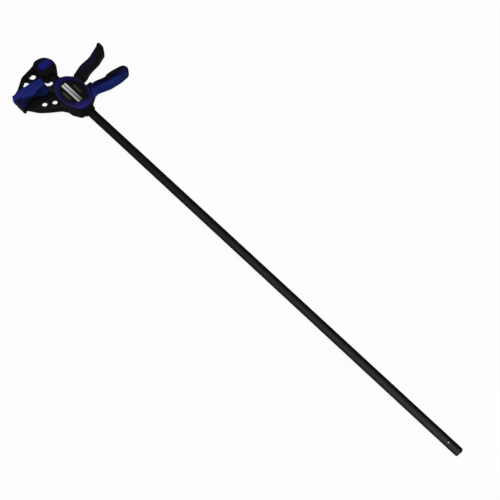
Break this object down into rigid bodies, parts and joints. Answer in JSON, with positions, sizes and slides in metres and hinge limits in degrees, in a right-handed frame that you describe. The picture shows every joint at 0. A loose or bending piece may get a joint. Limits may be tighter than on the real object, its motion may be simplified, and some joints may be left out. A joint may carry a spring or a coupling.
{
  "type": "quick release bar clamp",
  "caption": "One-handed quick release bar clamp with a fixed jaw at one end of a flat bar and a sliding head with trigger, rear grip and release tab.",
  "frame": {"origin": "middle of the bar, at the plane where the two pads meet when the jaws are closed", "axes": "+X along the bar to its free end, +Y from the bar towards the grip and trigger, +Z across the clamp, up as it lies on its side"},
  "size_m": [1.1273, 0.2098, 0.0301],
  "materials": {
    "bar_steel": "satin black oxide",
    "black_plastic": "fine moulded grain",
    "blue_rubber": "soft matt",
    "blue_plastic": "satin",
    "navy_rubber": "soft matt",
    "badge_plastic": "glossy",
    "plain_steel": "plain turned",
    "plate_steel": "hardened, dark",
    "spring_steel": "bright wire",
    "screw_steel": "dark zinc"
  },
  "bodies": {
    "bar_and_jaw": {"bar": "bar_steel", "fixed_jaw": "black_plastic", "fixed_pad": "blue_rubber", "button_spring": "spring_steel", "spring_plug": "black_plastic"},
    "button": {"lock_button": "blue_plastic", "lock_pin": "plain_steel"},
    "moving_head": {"shell_left": "black_plastic", "shell_right": "black_plastic", "moving_pad": "blue_rubber", "grip_sleeve": "blue_rubber", "ring_left": "blue_rubber", "ring_right": "blue_rubber", "badge_left": "badge_plastic", "badge_right": "badge_plastic", "guide_front": "plain_steel", "guide_rear": "plain_steel", "housing_screws": "screw_steel", "trigger_pin": "plain_steel", "brake_anchor": "plain_steel", "drive_spring": "spring_steel", "brake_spring": "spring_steel"},
    "trigger_lever": {"trigger": "black_plastic", "trigger_strip": "navy_rubber", "drive_roller": "plain_steel"},
    "drive": {"drive_plates": "plate_steel"},
    "brake": {"brake_plates": "plate_steel", "release_tab": "black_plastic"}
  },
  "joints": [
    {"name": "jaw_slide", "type": "slide", "parent": "bar_and_jaw", "child": "moving_head", "axis": [1, 0, 0], "range_m": [0, 0.914]},
    {"name": "trigger_squeeze", "type": "hinge", "parent": "moving_head", "child": "trigger_lever", "pos_m": [0.037, 0.016, 0], "axis": [0, 0, -1], "range_deg": [0, 22], "stiffness_Nm_per_rad": 0.4, "springref_deg": -17.19},
    {"name": "drive_slide", "type": "slide", "parent": "moving_head", "child": "drive", "axis": [1, 0, 0], "range_m": [0, 0.003], "deforming": ["drive_spring"]},
    {"name": "brake_release", "type": "hinge", "parent": "moving_head", "child": "brake", "pos_m": [0.066, -0.019, 0], "axis": [0, 0, -1], "range_deg": [0, 7.25], "stiffness_Nm_per_rad": 0.5, "springref_deg": -11.46, "deforming": ["brake_spring"]},
    {"name": "button_press", "type": "slide", "parent": "bar_and_jaw", "child": "button", "axis": [0, 0, -1], "range_m": [0, 0.0042], "stiffness_N_per_m": 1000, "springref_m": -0.002, "deforming": ["button_spring"]}
  ],
  "couplings": [
    {"joint": "drive_slide", "follows": "trigger_squeeze", "m_per_rad": 0.0076}
  ]
}
